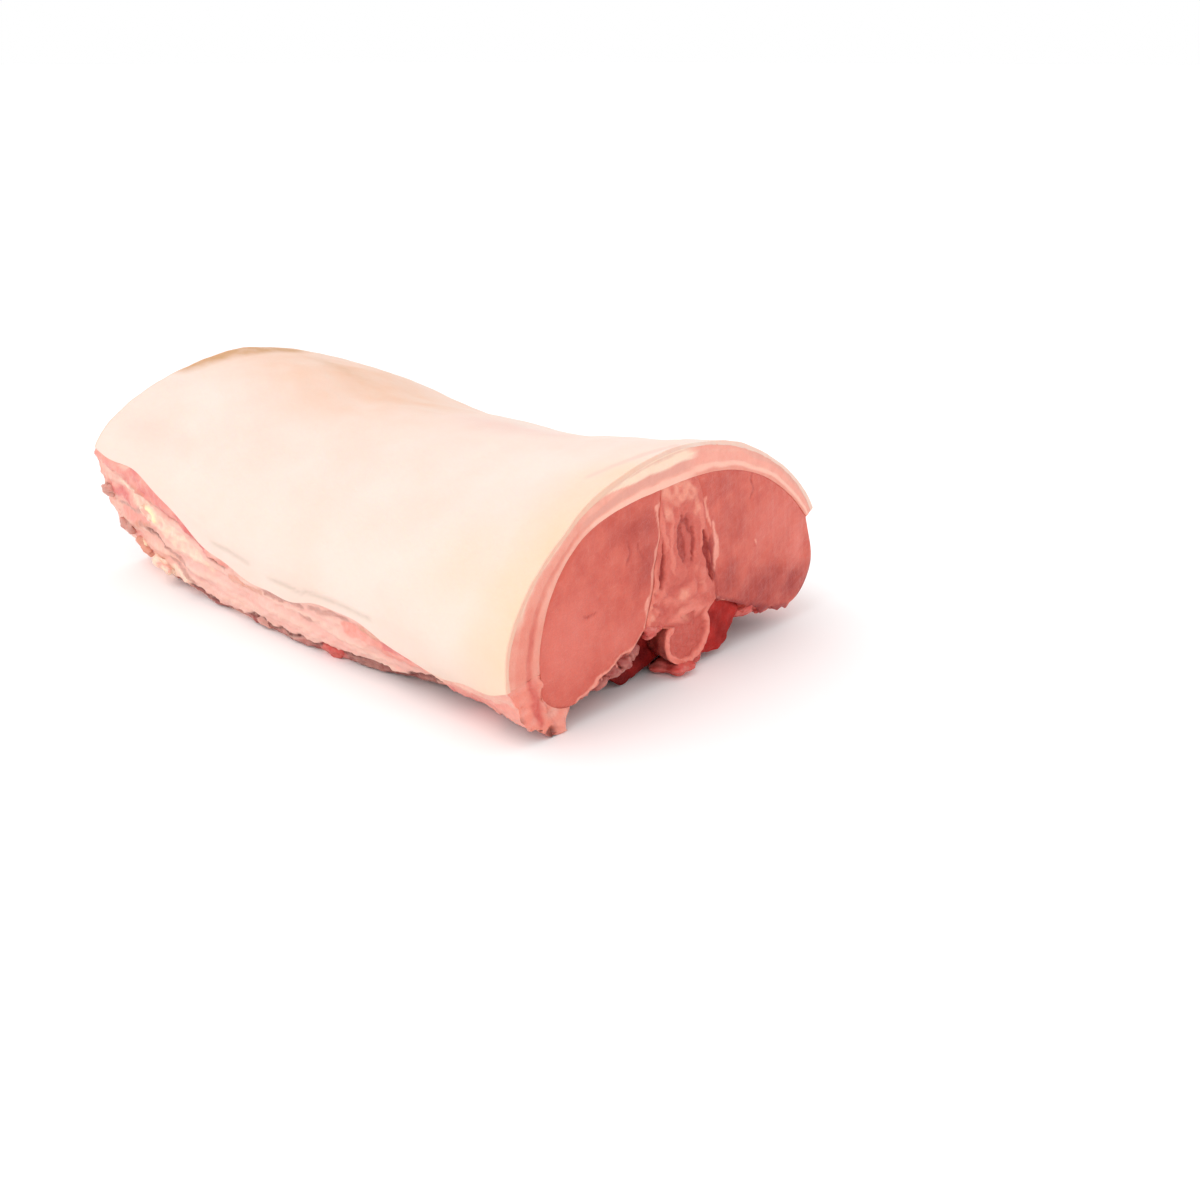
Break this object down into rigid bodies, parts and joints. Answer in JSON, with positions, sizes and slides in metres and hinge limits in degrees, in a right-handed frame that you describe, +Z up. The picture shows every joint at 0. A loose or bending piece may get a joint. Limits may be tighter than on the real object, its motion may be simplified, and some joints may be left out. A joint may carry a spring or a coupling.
{
  "type": "raw double pork loin",
  "caption": "Whole raw double pork loin on the bone, rind on, lying rind side up and sawn across at both ends.",
  "frame": {"origin": "on the surface that the meat rests on, under the middle of its bounding box", "axes": "+X along the back towards the sawn loin end, +Z up through the rind's ridge, +Y towards the far flank"},
  "size_m": [0.365, 0.2482, 0.1233],
  "materials": {
    "rind_and_backfat": "smooth moist rind over soft fat",
    "loin_lean": "moist raw lean",
    "bone": "sawn bone and cartilage with red marrow",
    "flank": "moist layers of lean and fat",
    "tenderloin": "moist dark lean"
  },
  "bodies": {
    "root": {"rind_and_backfat": "rind_and_backfat", "loin_near": "loin_lean", "loin_far": "loin_lean", "backbone": "bone", "flank_near": "flank", "flank_far": "flank", "tenderloin_near": "tenderloin", "tenderloin_far": "tenderloin"}
  },
  "joints": []
}
